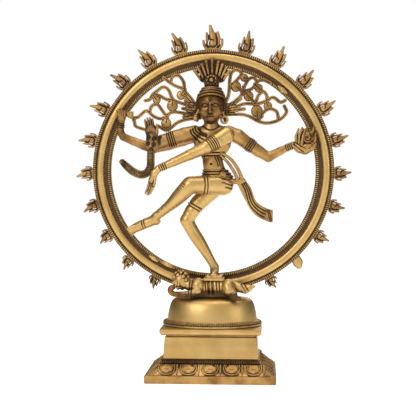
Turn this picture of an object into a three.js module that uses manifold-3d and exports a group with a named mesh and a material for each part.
// Brass nataraja: a dancing figure in a ring of flames on a stacked, hollow pedestal.
// Millimetres, +Z up, the figure faces -Y. Origin: the middle of the base's underside.
import * as THREE from 'three';
import { mergeVertices } from 'three/addons/utils/BufferGeometryUtils.js';
import Module from 'manifold-3d';

const wasm = await Module();
wasm.setup();

// ---- Driving dimensions ----------------------------------------------------------------

// Fits
const gap = 0.3; // between pieces that are seated or brazed on each other
const wall = 4; // of every hollow casting

// Lotus base
const baseWidth = 145;
const baseDepth = 104;
const baseFootHeight = 8.5;
const baseSlopeHeight = 11;
const baseStepIn = 12; // from the foot's front edge to the bead band's face
const baseStepSide = 17; // from the foot's side edge to the bead band's face
const beadBandHeight = 5.1;
const seatBorder = 12; // width of the base's top plate round its opening

// Plinth block
const blockHeight = 24;
const blockSetback = 3; // from the bead band's face to the block's foot
const blockTaper = 1.7; // that each face leans in over the block's height

// Cornice slab
const neckHeight = 2;
const neckSetback = 1.5;
const corniceHeight = 7;
const corniceOverhang = 5.5; // of the slab past the block's top

// Dome seat
const flangeHeight = 6;
const domeSkirtHeight = 20;
const domeShoulder = 5; // height and inset of the rounded top edge
const flangeLip = 5; // of the flange past the dome's foot
const domeLean = 4.5; // that the skirt leans in over its height

// Ring of flames
const ringOuterRadius = 138.3;
const ringFootHeight = 5.7; // from the dome's top to the ring's lowest point
const ringDepth = 10;
const rimWidth = 4.5; // beaded outer rim
const bandWidth = 8.5; // smooth raised band
const channelWidth = 4; // groove inside the band
const innerBeadWidth = 4;
const bandRise = 1.2; // of the smooth band over the rims
const channelSink = 1.6;
const ringOffset = 10; // of the ring's mid plane behind the figure's plane
const ringSides = 64;

// Flames round the ring
const flameStep = 15.2; // degrees
const flamesEachSide = 10;
const highFlame = [19.5, 26.5]; // width and height of the flames beside the top one
const lowFlame = [15.5, 14]; // and of the lowest two
const topFlame = [24.5, 28.5];
const flameThickness = 4.6;
const blankPlace = 9; // the place on the right that holds a plain lug in place of a flame
const blankWidth = 14;
const blankHeight = 15;

// Fasteners
const tieSpan = 60; // between the two tie studs
const tieRadius = 2.5;
const tieEnd = 6; // of the stud's lower end over the table
const clampThickness = 5;
const clampDepth = 14;
const nutHeight = 4;
const nutRadius = 5; // over the corners
const washerRadius = 6;
const washerThickness = 1;
const bossRadius = 6.5;
const studPastNut = 1;
const footStudRadius = 2;
const screwRadius = 1.5;
const screwHeadRadius = 3;
const screwHeadHeight = 2;
const screwLength = 9;
const footPlateThickness = 3;
const footPlateWidth = 42;
const footPlateDepth = 16;
const saddleWidth = 20;
const saddleCheek = 2; // thickness of the saddle's cheek in front of and behind the ring
const saddleHold = 6; // that the cheeks reach up over the ring's lowest point

// Hair
const strandWidth = 2.7;
const strandThickness = 3;
const hairPlane = 6; // depth of the fans behind the figure's plane

// Facets
const limbSides = 8;
const arcSteps = 2;
const ovalSides = 40;
const rodSides = 12;
const sharpBend = Math.PI / 5; // a limb that bends more than this is made in two lengths

// ---- Places that follow from the dimensions ---------------------------------------------

const bandWidthX = baseWidth - 2 * baseStepSide;
const bandDepthY = baseDepth - 2 * baseStepIn;
const slopeTopZ = baseFootHeight + baseSlopeHeight;
const baseTopZ = slopeTopZ + beadBandHeight;

const blockZ = baseTopZ + gap;
const blockTopZ = blockZ + blockHeight;
const blockWidthX = bandWidthX - 2 * blockSetback;
const blockDepthY = bandDepthY - 2 * blockSetback;
const blockTopX = blockWidthX - 2 * blockTaper;
const blockTopY = blockDepthY - 2 * blockTaper;

const corniceZ = blockTopZ + gap;
const slabZ = corniceZ + neckHeight;
const slabTopZ = slabZ + corniceHeight;
const slabX = blockTopX + 2 * corniceOverhang;
const slabY = blockTopY + 2 * corniceOverhang;

const domeZ = slabTopZ + gap;
const skirtZ = domeZ + flangeHeight;
const shoulderZ = skirtZ + domeSkirtHeight;
const domeTopZ = shoulderZ + domeShoulder;
const skirtX = slabX - 2 * flangeLip;
const skirtY = slabY - 2 * flangeLip;
const shoulderX = skirtX - 2 * domeLean;
const shoulderY = skirtY - 2 * domeLean;

const ringCentreZ = domeTopZ + ringFootHeight + ringOuterRadius;
const ringInnerRadius = ringOuterRadius - rimWidth - bandWidth - channelWidth - innerBeadWidth;

// The figure is drawn round the middle of a ring of radius 138.3 that stands 144 over the dome.
const drawnRingRadius = 138.3;
const drawnHeight = 144;
const scale = ringOuterRadius / drawnRingRadius;
const figure = (x, y, z) =>
  new THREE.Vector3(x * scale, y * scale, domeTopZ + (z + drawnHeight) * scale);
const ringY = ringOffset * scale;

const plateUndersideZ = domeTopZ - wall;
const clampTopZ = baseTopZ - wall - gap;
const clampZ = clampTopZ - clampThickness;
const tieX = tieSpan / 2;
const tieTopZ = plateUndersideZ - gap;
const footStudAt = figure(2.6, -6, -114);

// ---- Finishes ----------------------------------------------------------------------------

const finish = (color, roughness) =>
  new THREE.MeshStandardMaterial({ color, roughness, metalness: 1 });
const polishedBrass = finish('#c79a52', 0.32);
const castBrass = finish('#a97c3c', 0.42);
const darkBrass = finish('#7d5a2c', 0.5);
const steel = finish('#9a9a9a', 0.4);

// ---- Solids ------------------------------------------------------------------------------

const tiny = 1e-4; // vertices closer than this are one vertex

/** A closed three.js geometry as a solid that can be joined and cut. */
function solidOf(geometry) {
  const bare = geometry.clone();
  bare.deleteAttribute('normal');
  bare.deleteAttribute('uv');
  const merged = mergeVertices(bare, tiny);
  const corners = merged.index.array;
  const triVerts = [];
  for (let i = 0; i < corners.length; i += 3) {
    const [a, b, c] = [corners[i], corners[i + 1], corners[i + 2]];
    if (a !== b && b !== c && c !== a) triVerts.push(a, b, c);
  }
  const vertProperties = new Float32Array(merged.attributes.position.array);
  const mesh = new wasm.Mesh({ numProp: 3, vertProperties, triVerts: new Uint32Array(triVerts) });
  return new wasm.Manifold(mesh);
}

/** The three.js geometry of a solid. */
function geometryOf(solid) {
  const mesh = solid.getMesh();
  const geometry = new THREE.BufferGeometry();
  geometry.setAttribute('position', new THREE.BufferAttribute(new Float32Array(mesh.vertProperties), 3));
  geometry.setIndex(new THREE.BufferAttribute(new Uint32Array(mesh.triVerts), 1));
  geometry.computeVertexNormals();
  return geometry;
}

const joined = (solids) => solids.reduce((whole, next) => whole.add(next));
const cut = (solid, ...cutters) => cutters.reduce((left, next) => left.subtract(next), solid);

/** The largest piece of a solid, without slivers that a cut has left beside it. */
function mainPiece(solid) {
  return solid.decompose().sort((a, b) => b.volume() - a.volume())[0];
}

/** An upright box, or oval post, whose top may have another size than its foot. */
function tapered(shape, foot, top, z0, z1) {
  const geometry = shape === 'oval'
    ? new THREE.CylinderGeometry(0.5, 0.5, 1, ovalSides).rotateX(Math.PI / 2)
    : new THREE.BoxGeometry(1, 1, 1);
  const points = geometry.attributes.position;
  for (let i = 0; i < points.count; i += 1) {
    const [width, depth] = points.getZ(i) > 0 ? top : foot;
    const z = points.getZ(i) > 0 ? z1 : z0;
    points.setXYZ(i, points.getX(i) * width, points.getY(i) * depth, z);
  }
  return solidOf(geometry);
}

/** A straight upright box with its middle at x, y. */
function block(width, depth, z0, z1, x = 0, y = 0) {
  return tapered('box', [width, depth], [width, depth], z0, z1).translate([x, y, 0]);
}

/** An upright rod. */
function rod(x, y, z0, z1, radius, sides = rodSides) {
  const geometry = new THREE.CylinderGeometry(radius, radius, z1 - z0, sides);
  return solidOf(geometry.rotateX(Math.PI / 2).translate(x, y, (z0 + z1) / 2));
}

/** A round-ended tube that follows points smoothly and takes its radius from one at each point. */
function taperedTube(points, radii) {
  const path = new THREE.CatmullRomCurve3(points);
  const steps = (points.length - 1) * (points.length > 2 ? 2 : 1);
  const frames = path.computeFrenetFrames(steps);
  const reach = [0];
  for (let i = 1; i < points.length; i += 1) reach.push(reach[i - 1] + points[i].distanceTo(points[i - 1]));
  const radiusAt = (share) => {
    const at = share * reach[reach.length - 1];
    const i = Math.min(reach.length - 2, Math.max(0, reach.findIndex((end) => end >= at) - 1));
    return THREE.MathUtils.mapLinear(at, reach[i], reach[i + 1], radii[i], radii[i + 1]);
  };
  const geometry = new THREE.CapsuleGeometry(1, 1, arcSteps, limbSides, steps);
  const corners = geometry.attributes.position;
  for (let i = 0; i < corners.count; i += 1) {
    const [x, y, z] = [corners.getX(i), corners.getY(i), corners.getZ(i)];
    const share = THREE.MathUtils.clamp(y + 0.5, 0, 1);
    const step = Math.round(share * steps);
    const radius = radiusAt(share);
    const corner = path.getPointAt(share)
      .addScaledVector(frames.normals[step], z * radius)
      .addScaledVector(frames.binormals[step], x * radius)
      .addScaledVector(frames.tangents[step], (y + 0.5 - share) * radius);
    corners.setXYZ(i, corner.x, corner.y, corner.z);
  }
  return solidOf(geometry);
}

/** A limb through joints [x, y, z, radius] in the figure's drawing, in one tube per sharp bend. */
function limb(joints, grow) {
  const points = joints.map(([x, y, z]) => figure(x, y, z));
  const radii = joints.map(([, , , radius]) => radius * scale + grow);
  const lengths = [];
  let start = 0;
  for (let i = 1; i < points.length; i += 1) {
    const before = points[i].clone().sub(points[i - 1]);
    const after = points[Math.min(i + 1, points.length - 1)].clone().sub(points[i]);
    if (i === points.length - 1 || before.angleTo(after) > sharpBend) {
      lengths.push(taperedTube(points.slice(start, i + 1), radii.slice(start, i + 1)));
      start = i;
    }
  }
  return joined(lengths);
}

/** An egg shape with its middle and three half-sizes in the figure's drawing. */
function egg([x, y, z], [halfX, halfY, halfZ], grow) {
  const middle = figure(x, y, z);
  const geometry = new THREE.SphereGeometry(1, 12, 8).rotateX(Math.PI / 2);
  geometry.scale(halfX * scale + grow, halfY * scale + grow, halfZ * scale + grow);
  return solidOf(geometry.translate(middle.x, middle.y, middle.z));
}

/** A flat strip that follows a smooth path of points [x, y, z] in the figure's drawing. */
function strip(points, width, thickness, steps = Math.round(1.6 * points.length)) {
  const path = new THREE.CatmullRomCurve3(points.map(([x, y, z]) => figure(x, y, z)));
  const [w, t] = [(width * scale) / 2, (thickness * scale) / 2];
  const corners = [[-t, -w], [t, -w], [t, w], [-t, w]].map(([x, y]) => new THREE.Vector2(x, y));
  return solidOf(new THREE.ExtrudeGeometry(new THREE.Shape(corners), { steps, extrudePath: path }));
}

/** An upright plate with an outline [x, z], set in the figure's plane or on the ring. */
function plate(outline, thickness, y) {
  const shape = new THREE.Shape(outline.map(([x, z]) => new THREE.Vector2(x, z)));
  const geometry = new THREE.ExtrudeGeometry(shape, { depth: thickness, bevelEnabled: false });
  return solidOf(geometry.rotateX(Math.PI / 2).translate(0, y + thickness / 2, 0));
}

// ---- The whole, and how a piece joins it --------------------------------------------------

const group = new THREE.Group();

/** Adds a solid to the statue as its own named piece. */
function add(name, solid, material) {
  const mesh = new THREE.Mesh(geometryOf(mainPiece(solid)), material);
  mesh.name = name;
  group.add(mesh);
}

// ---- Pedestal -----------------------------------------------------------------------------

const less = ([width, depth], by) => [width - 2 * by, depth - 2 * by];

/** Lotus base: foot, sloping petals' face and bead band, open below and in the middle of its top. */
function lotusBase() {
  const [foot, band] = [[baseWidth, baseDepth], [bandWidthX, bandDepthY]];
  const outside = joined([
    tapered('box', foot, foot, 0, baseFootHeight),
    tapered('box', foot, band, baseFootHeight, slopeTopZ),
    tapered('box', band, band, slopeTopZ, baseTopZ),
  ]);
  const inside = joined([
    tapered('box', less(foot, wall), less(foot, wall), -1, baseFootHeight - wall / 2),
    tapered('box', less(foot, wall), less(band, wall), baseFootHeight - wall / 2, slopeTopZ - wall / 2),
    tapered('box', less(band, wall), less(band, wall), slopeTopZ - wall / 2, baseTopZ - wall),
  ]);
  const [openX, openY] = less(band, wall + seatBorder);
  return cut(outside, inside, block(openX, openY, 0, baseTopZ + 1));
}

/** Plinth block: four leaning walls and a top plate that the tie studs pass through. */
function plinthBlock() {
  const [foot, top] = [[blockWidthX, blockDepthY], [blockTopX, blockTopY]];
  const outside = tapered('box', foot, top, blockZ, blockTopZ);
  const inside = tapered('box', less(foot, wall), less(top, wall), blockZ - 1, blockTopZ - wall);
  return cut(outside, inside, ...tieHoles());
}

/** Cornice: a narrow neck under a wide slab, cast solid. */
function corniceSlab() {
  const neck = less([blockTopX, blockTopY], neckSetback);
  const slab = [slabX, slabY];
  const body = joined([
    tapered('box', neck, neck, corniceZ, slabZ),
    tapered('box', less(slab, neckSetback), slab, slabZ, slabZ + neckSetback),
    tapered('box', slab, slab, slabZ + neckSetback, slabTopZ),
  ]);
  return cut(body, ...tieHoles());
}

/** Dome seat: an oval shell on a beaded flange, with a boss inside for each tie stud. */
function domeSeat() {
  const [flange, skirt, shoulder] = [[slabX, slabY], [skirtX, skirtY], [shoulderX, shoulderY]];
  const outside = joined([
    tapered('oval', flange, flange, domeZ, skirtZ),
    tapered('oval', skirt, shoulder, skirtZ, shoulderZ),
    tapered('oval', shoulder, less(shoulder, domeShoulder), shoulderZ, domeTopZ),
  ]);
  const ceiling = less(shoulder, wall + domeShoulder / 2);
  const inside = joined([
    tapered('oval', less(skirt, wall), less(shoulder, wall), domeZ - 1, shoulderZ),
    tapered('oval', less(shoulder, wall), ceiling, shoulderZ, plateUndersideZ),
  ]);
  const bossTop = plateUndersideZ + wall / 2;
  const bosses = [-tieX, tieX].map((x) => rod(x, 0, skirtZ, bossTop, bossRadius));
  const shell = joined([cut(outside, inside), ...bosses]);
  const footHole = rod(footStudAt.x, footStudAt.y, domeZ, domeTopZ + 1, footStudRadius + gap);
  const screwHoles = ringScrewPlaces().map((x) => rod(x, ringY, domeZ, domeTopZ + 1, screwRadius + gap));
  return cut(shell, ...tieHoles(), footHole, ...screwHoles);
}

/** The clearance round both tie studs, up to their blind ends in the dome's bosses. */
function tieHoles() {
  return [-tieX, tieX].map((x) => rod(x, 0, 0, tieTopZ + gap, tieRadius + gap));
}

/** The strap bar that both tie studs pull up against the lotus base's top plate. */
function clampBar() {
  const length = bandWidthX - 2 * (wall + seatBorder / 2);
  return cut(block(length, clampDepth, clampZ, clampTopZ), ...tieHoles());
}

/** A hexagon nut below height z, and a washer between it and what it pulls on. */
function washer(x, y, top, outer, inner) {
  return cut(rod(x, y, top - washerThickness, top, outer), rod(x, y, top - 9, top + 9, inner + gap));
}

function nut(x, y, top, inner) {
  return cut(rod(x, y, top - nutHeight, top, nutRadius, 6), rod(x, y, top - 9, top + 9, inner + gap));
}

add('lotus_base', lotusBase(), castBrass);
add('plinth_block', plinthBlock(), polishedBrass);
add('cornice_slab', corniceSlab(), polishedBrass);
add('dome_seat', domeSeat(), polishedBrass);
add('clamp_bar', clampBar(), steel);
for (const [side, x] of [['left', -tieX], ['right', tieX]]) {
  const washerTop = clampZ - gap;
  const nutTop = washerTop - washerThickness - gap;
  add(`tie_stud_${side}`, rod(x, 0, tieEnd, tieTopZ, tieRadius), steel);
  add(`tie_washer_${side}`, washer(x, 0, washerTop, washerRadius, tieRadius), steel);
  add(`tie_nut_${side}`, nut(x, 0, nutTop, tieRadius), steel);
}

// ---- Ring and flames -----------------------------------------------------------------------

/** A body turned about the ring's axis from points [radius, depth from the ring's mid plane]. */
function ringTurned(outline) {
  const closed = [outline[0], ...[...outline].reverse()];
  const profile = closed.map(([radius, y]) => new THREE.Vector2(radius, y));
  const geometry = new THREE.LatheGeometry(profile, ringSides);
  return solidOf(geometry.translate(0, ringY, ringCentreZ));
}

/** The ring: beaded rim, smooth raised band, channel and inner bead row, with a flat back. */
function flameRing() {
  const [back, front] = [ringDepth / 2, -ringDepth / 2 + bandRise];
  const bandOut = ringOuterRadius - rimWidth;
  const bandIn = bandOut - bandWidth;
  const channelIn = bandIn - channelWidth;
  return ringTurned([
    [ringInnerRadius, back],
    [ringOuterRadius, back],
    [ringOuterRadius, front],
    [bandOut, front],
    [bandOut - bandWidth / 4, front - bandRise],
    [bandIn + bandWidth / 4, front - bandRise],
    [bandIn, front],
    [bandIn, front + channelSink],
    [channelIn, front + channelSink],
    [channelIn, front],
    [ringInnerRadius, front],
  ]);
}

/** The space that the ring takes up, grown on every side. */
function ringSpace(grow) {
  const [inner, outer, half] = [ringInnerRadius - grow, ringOuterRadius + grow, ringDepth / 2 + grow];
  return ringTurned([[inner, half], [outer, half], [outer, -half], [inner, -half]]);
}

/** A flame's width and height, which shrink from the ring's top to its foot. */
function flameSize(placesFromTop) {
  if (placesFromTop === 0) return topFlame;
  const share = (placesFromTop - 1) / (flamesEachSide - 1);
  return highFlame.map((size, i) => size + (lowFlame[i] - size) * share);
}

/** A flame's outline: a round belly, two tongues on each side and a tip, with its foot at zero. */
function flameOutline(width, height) {
  const halfSide = [[0.22, 0], [0.5, 0.25], [0.48, 0.6], [0.33, 0.47], [0.29, 0.8], [0.16, 0.64]];
  const right = halfSide.map(([x, z]) => [x * width, z * height]);
  const left = right.map(([x, z]) => [-x, z]).reverse();
  return [...right, [0, height], ...left];
}

/** A plain oval lug's outline, with its foot at zero. */
function lugOutline(width, height) {
  const corners = [];
  for (let i = 0; i <= 8; i += 1) {
    const angle = Math.PI * (i / 8);
    const z = height * (0.25 + 0.75 * Math.sin(angle));
    corners.push([(width / 2) * Math.cos(angle), z]);
  }
  return [[width / 3, 0], ...corners, [-width / 3, 0]];
}

/** Sets a plate on the ring's rim, turned clockwise from the top as seen from the front. */
function onRim(outline, degrees) {
  const standing = outline.map(([x, z]) => [x, z + ringOuterRadius + gap]);
  return plate(standing, flameThickness, ringY).rotate([0, degrees, 0]).translate([0, 0, ringCentreZ]);
}

add('flame_ring', flameRing(), polishedBrass);
let flameNumber = 1;
for (let place = -flamesEachSide; place <= flamesEachSide; place += 1) {
  const degrees = place * flameStep;
  if (place === blankPlace) {
    add('blank_lug', onRim(lugOutline(blankWidth * scale, blankHeight * scale), degrees), castBrass);
  } else {
    const [width, height] = flameSize(Math.abs(place));
    const name = `flame_${String(flameNumber).padStart(2, '0')}`;
    add(name, onRim(flameOutline(width * scale, height * scale), degrees), castBrass);
    flameNumber += 1;
  }
}

/** Where the two screws of the ring's foot stand, left and right of the ring. */
function ringScrewPlaces() {
  const x = footPlateWidth / 2 - screwHeadRadius - gap;
  return [-x, x];
}

/** The ring's foot: a plate on the dome and a saddle whose cheeks hold the ring. */
function ringFoot() {
  const plateTop = domeTopZ + gap + footPlateThickness;
  const body = joined([
    block(footPlateWidth, footPlateDepth, domeTopZ + gap, plateTop, 0, ringY),
    block(
      saddleWidth,
      ringDepth + 2 * (gap + saddleCheek),
      domeTopZ + gap,
      ringCentreZ - ringOuterRadius + saddleHold,
      0,
      ringY,
    ),
  ]);
  const holes = ringScrewPlaces().map((x) => rod(x, ringY, domeZ, plateTop + 1, screwRadius + gap));
  return cut(body, ringSpace(gap), ...holes);
}

/** A round-headed screw that holds the foot's plate to the dome. */
function ringScrew(x) {
  const headZ = domeTopZ + 2 * gap + footPlateThickness;
  return joined([
    rod(x, ringY, headZ - screwLength, headZ + screwHeadHeight / 2, screwRadius),
    rod(x, ringY, headZ, headZ + screwHeadHeight, screwHeadRadius),
  ]);
}

add('ring_foot', ringFoot(), castBrass);
ringScrewPlaces().forEach((x, i) => add(`ring_screw_${i ? 'right' : 'left'}`, ringScrew(x), steel));

// ---- Figure: each shape takes the width that it is grown by ---------------------------------

const torso = (grow) => joined([
  egg([0.3, -2, 29], [21, 11, 15], grow),
  limb([[-18.5, -1, 37.5, 7], [18.5, -1, 38.5, 7]], grow),
  limb([[0, -3, 22, 13], [0.9, -3, 7.7, 10.4], [4, -3, -6, 13.5]], grow),
  egg([6.5, -3, -13], [18.5, 12.5, 12], grow),
  limb([[-1, -2, 42, 7.5], [-1.3, -3, 55, 6.5]], grow),
]);

const head = (grow) => joined([
  egg([-1.3, -4, 73], [13.8, 13.4, 17.5], grow),
  limb([[-1.2, -7, 64, 8.6], [-1.2, -8.5, 60.5, 5.8]], grow),
]);

/** The crown: a cap round the top of the head, and a fan of nine feathers behind a jewel. */
function crown(grow) {
  const middle = figure(-0.6, -3, 92);
  const [low, high] = [7 * scale + grow, 7 * scale + grow];
  const cap = new THREE.CylinderGeometry(11.5 * scale + grow, 14.6 * scale + grow, low + high, 20);
  const tips = [[-20, 112], [-16.5, 116.5], [-12, 119], [-6.5, 123], [0, 128.5]];
  const notches = [[-16, 110.5], [-12.3, 113.5], [-8, 115.5], [-3.2, 118]];
  const leftSide = tips.flatMap((tip, i) => (i < notches.length ? [tip, notches[i]] : [tip]));
  const rightSide = leftSide.slice(0, -1).map(([x, z]) => [-x, z]).reverse();
  const outline = [[-9, 94], ...leftSide, ...rightSide, [9, 94]].map(([x, z]) => {
    const point = figure(x, 0, z);
    return [point.x, point.z];
  });
  const feathers = plate([...outline].reverse(), 5 * scale + 2 * grow, -1 * scale);
  return joined([
    solidOf(cap.rotateX(Math.PI / 2).translate(middle.x, middle.y, middle.z)),
    feathers,
    egg([-0.4, -6, 102], [4.2, 4.5, 4.2], grow),
  ]);
}

const raisedLeg = (grow) => limb([
  [13, -9, -16.3, 11], [-22.6, -19, -16.2, 9.3], [-35.5, -16, -28, 8], [-61.8, -8, -51, 4.4],
  [-64, -6, -59, 4.6], [-80, -4, -62.5, 4.4], [-93.5, -2, -67, 3.2],
], grow);

const standingLeg = (grow) => limb([
  [2, -1, -22, 10.5], [-28.2, -6, -57.8, 8.3], [-20.5, -4, -73, 7.4], [3.2, -4, -108.7, 4.7],
  [2.8, -7, -114.3, 4.6], [2.6, -16, -116, 3.6],
], grow);

const drum = (grow) => limb([
  [-107.5, 0.5, 65.3, 4.1], [-99.8, 0, 64.3, 1.8], [-92.5, -0.5, 63.3, 4.1],
], grow);

const blessingArm = (grow) => limb([
  [-21, -6, 35.5, 6.4], [-43, -9, 31.5, 5.8], [-65, -11, 26, 5.2], [-66, -19, 30.5, 4.6],
  [-66.9, -22, 40.4, 5.2], [-68, -22, 56, 2.6],
], grow);

const drumArm = (grow) => limb([
  [-24, 3, 34.5, 6.2], [-64, 1, 33.5, 5.2], [-103.4, 0, 39.5, 3.7], [-103.4, 0, 54.2, 3.2],
  [-100.5, -1, 61.5, 4.6],
], grow);

const crossingArm = (grow) => limb([
  [15, -10, 34.5, 6.2], [-6.8, -21, 23.5, 5.6], [-58.9, -23, 1.5, 3.7], [-65.5, -23.5, -11, 3.7],
  [-71.1, -24, -27.3, 1.9],
], grow);

const fireArm = (grow) => limb([
  [20.5, -1, 39.5, 7.4], [42, 0, 28, 6.2], [63.1, 0, 14.6, 5.2], [90.3, -1, 28.1, 3.3],
  [101.6, -2, 25.8, 4.8], [114.5, -2.5, 24.7, 2.2],
], grow);

const cobra = (grow) => limb([
  [-68.3, -17, 20, 4.6], [-68.5, -16, 3.9, 4.5], [-77.4, -16, -4.4, 4.4], [-89.7, -16, -0.2, 4.6],
  [-101, -16, 8.6, 3.4],
], grow);

const handFlame = (grow) => joined([
  egg([107.3, -2.5, 36.5], [8.2, 4.5, 8.2], grow),
  limb([[108, -2.5, 39, 5], [115, -1.5, 48, 1.4]], grow),
  limb([[103.5, -2.5, 39, 4], [106.5, -2.5, 48, 1.2]], grow),
]);

const dwarf = (grow) => joined([
  egg([-34.5, -12, -127.5], [9, 8, 8.5], grow),
  limb([
    [-19, -13, -131.5, 11], [1.5, -11.5, -130.6, 11], [17.5, -13, -132.3, 10.6],
    [30, -19, -135.5, 6], [29, -24, -141, 3.6],
  ], grow),
  limb([[20, -12, -130, 8], [41, -12, -131, 5], [52, -11, -128, 2.4]], grow),
]);

const dwarfSnake = (grow) => limb([
  [-33, -15, -138.5, 3], [-42, -14, -139, 3.2], [-45.5, -14, -134, 3.6],
], grow);

const belt = () => torso(2.4 * scale).intersect(
  block(80 * scale, 60 * scale, figure(0, 0, -8).z, figure(0, 0, 0.5).z),
);

const earringLeft = (grow) => limb([[-14.5, -5, 69, 2.8], [-18.6, -6.5, 59.5, 3.6]], grow);

/** The right earring: a round hoop that hangs from the ear's lobe beside the neck. */
function earringRight(grow) {
  const middle = figure(14, -6, 56.5);
  const hoop = new THREE.TorusGeometry(3.6 * scale, 1.2 * scale + grow, 6, 12).rotateX(Math.PI / 2);
  const lobe = limb([[11, -5, 68, 2], [13.8, -6, 60.5, 1.6]], grow);
  return joined([solidOf(hoop.translate(middle.x, middle.y, middle.z)), lobe]);
}

/** The sash: a double strand from the waist, joined at the hip, that flares to its end. */
const sash = () => joined([
  strip([[10, -8, 20], [22, -9.5, 12], [31, -7.5, -2], [36.5, -6, -18], [43, -5.5, -33]], 3.4, 4),
  strip([[10, -8, 18], [19, -10, 9.5], [26.5, -8.5, -3], [32, -7, -16], [41, -6, -33]], 3.2, 4),
  strip([[34, -6, -12], [40, -5.5, -22], [44.5, -5, -38], [55, -4, -45.5], [67, -3.5, -51]], 9, 4.5),
]);

// ---- Hair: flat strands [x, z] in the figure's drawing --------------------------------------

const leftStrands = [
  [[-17, 70], [-25, 83], [-31.5, 91], [-33, 101], [-39, 108.5], [-45.5, 107], [-48, 102]],
  [[-56, 106], [-44, 97.5], [-32, 93]],
  [
    [-77, 80], [-72, 81.5], [-68.5, 87], [-62.5, 92], [-56, 95.5], [-50, 91.5], [-45, 81], [-34, 76.5],
    [-17, 68.5],
  ],
  [[-68, 88], [-60, 85.5], [-53, 81.5], [-45, 81]],
  [[-89.5, 60.5], [-85, 61.5], [-76, 68.5], [-68, 62.5], [-60, 59.5], [-51.5, 62]],
  [[-72, 67.5], [-69.5, 74], [-63, 75.5], [-57.5, 68.5], [-53, 63.5], [-45, 67], [-29, 65], [-15, 63]],
  [[-62, 51], [-54, 46.3], [-48, 48.5], [-40, 55], [-29, 58.5], [-15, 60]],
];
const leftDiscs = [[-36, 86, 5.4], [-46, 74, 6.6], [-64, 81, 4.9], [-53, 54, 6.2]];
const rightStrands = [
  [[15, 78], [18.5, 87], [19.5, 101], [21.5, 111], [27, 114.5], [33, 110.5], [27, 102], [21, 97]],
  [[33, 88.5], [38, 99], [42, 104.5], [47.5, 105], [50, 99.5], [44, 92.5], [36, 90.5]],
  [[48, 96], [52, 101.5], [58.5, 102.5], [66, 99]],
  [[35, 95], [34.5, 88], [27, 80], [15, 71.5]],
  [[49, 75.5], [52, 85], [58, 89.5], [62, 84], [61, 78.5]],
  [[13, 68], [25, 72], [37, 76], [50, 75.5], [61, 79], [69, 83], [77, 77.5], [82.5, 79.5]],
  [[52, 56.5], [58, 66], [65.5, 70], [73, 66.5], [75, 57.5]],
  [[13, 63], [31, 64], [42, 61.5], [53, 55.5], [64, 54], [77, 58], [84, 66], [81.5, 73]],
];
const rightDiscs = [
  [26.5, 95.5, 6.3], [36, 105.5, 4.8], [52.5, 93.5, 5], [41, 84.5, 6], [63, 73, 5.2], [50.5, 67.5, 7],
];

/** One fan of hair: its strands, the small discs between them, and the root beside the head. */
function hairFan(strands, discs, rootX) {
  const strips = strands.map((strand) =>
    strip(strand.map(([x, z]) => [x, hairPlane, z]), strandWidth, strandThickness));
  const buttons = discs.map(([x, z, radius]) => {
    const at = figure(x, hairPlane, z);
    const disc = new THREE.CylinderGeometry(radius * scale, radius * scale, strandThickness * scale * 0.9, 8);
    return solidOf(disc.translate(at.x, at.y, at.z));
  });
  const [low, high, side] = [figure(0, 0, 57.5).z, figure(0, 0, 77).z, figure(rootX, hairPlane, 0)];
  const root = block(20 * scale, strandThickness * scale * 1.2, low, high, side.x, side.y);
  return joined([...strips, ...buttons, root]);
}

// ---- Figure: pieces, each cut back where it meets those before it ----------------------------

const domeSpace = () => tapered('oval', [slabX, slabY], [slabX, slabY], domeZ, domeTopZ + gap);
const footStudHole = rod(footStudAt.x, footStudAt.y, domeZ, footStudAt.z + gap, footStudRadius + gap);

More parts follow.
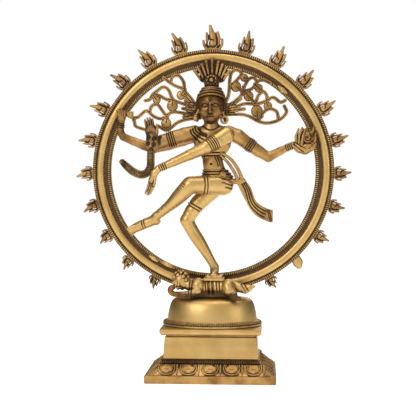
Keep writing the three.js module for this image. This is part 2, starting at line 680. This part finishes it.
add('torso', torso(0), castBrass);
add('head', cut(head(0), torso(gap), crown(gap)), castBrass);
add('crown', crown(0), darkBrass);
add('raised_leg', cut(raisedLeg(0), torso(gap), ringSpace(gap)), polishedBrass);
add('standing_leg', cut(standingLeg(0), torso(gap), raisedLeg(gap), footStudHole), polishedBrass);
add('belt', cut(belt(), torso(gap), raisedLeg(gap), standingLeg(gap)), darkBrass);
add('blessing_arm', cut(blessingArm(0), torso(gap)), castBrass);
add('drum', cut(drum(0), ringSpace(gap)), castBrass);
add('drum_arm', cut(drumArm(0), torso(gap), blessingArm(gap), drum(gap), ringSpace(gap)), castBrass);
add('fire_arm', cut(fireArm(0), torso(gap), ringSpace(gap)), castBrass);
add('crossing_arm', cut(crossingArm(0), torso(gap), fireArm(gap)), polishedBrass);
add('cobra', cut(cobra(0), blessingArm(gap), crossingArm(gap)), darkBrass);
add('hand_flame', cut(handFlame(0), fireArm(gap), ringSpace(gap)), darkBrass);
const beltSpace = torso(2.4 * scale + gap).intersect(
  block(80 * scale, 60 * scale, figure(0, 0, -8).z - gap, figure(0, 0, 0.5).z + gap),
);
add('sash', cut(sash(), torso(gap), beltSpace, raisedLeg(gap), standingLeg(gap)), castBrass);
add('earring_left', cut(earringLeft(0), head(gap), torso(gap)), castBrass);
add('earring_right', cut(earringRight(0), head(gap), torso(gap)), castBrass);

const hairNeighbours = () => [
  head(gap), torso(gap), crown(gap), ringSpace(gap), blessingArm(gap), earringLeft(gap), earringRight(gap),
];
add('hair_fan_left', cut(hairFan(leftStrands, leftDiscs, -22), ...hairNeighbours()), castBrass);
add('hair_fan_right', cut(hairFan(rightStrands, rightDiscs, 22), ...hairNeighbours()), castBrass);

const footSpaceTop = ringCentreZ - ringOuterRadius + saddleHold + gap;
const footSpace = block(footPlateWidth + 2 * gap, footPlateDepth + 2 * gap, domeTopZ, footSpaceTop, 0, ringY);
const dwarfNeighbours = [domeSpace(), standingLeg(gap), ringSpace(gap), footSpace, footStudHole];
add('dwarf', cut(dwarf(0), ...dwarfNeighbours), castBrass);
add('dwarf_snake', cut(dwarfSnake(0), dwarf(gap), domeSpace()), darkBrass);

// ---- The stud that holds the dancer and the dwarf to the dome --------------------------------

const footWasherTop = plateUndersideZ - gap;
const footNutTop = footWasherTop - washerThickness - gap;
const footStudEnd = footNutTop - nutHeight - studPastNut;
add('foot_stud', rod(footStudAt.x, footStudAt.y, footStudEnd, footStudAt.z, footStudRadius), steel);
add('foot_washer', washer(footStudAt.x, footStudAt.y, footWasherTop, washerRadius, footStudRadius), steel);
add('foot_nut', nut(footStudAt.x, footStudAt.y, footNutTop, footStudRadius), steel);

export default group;
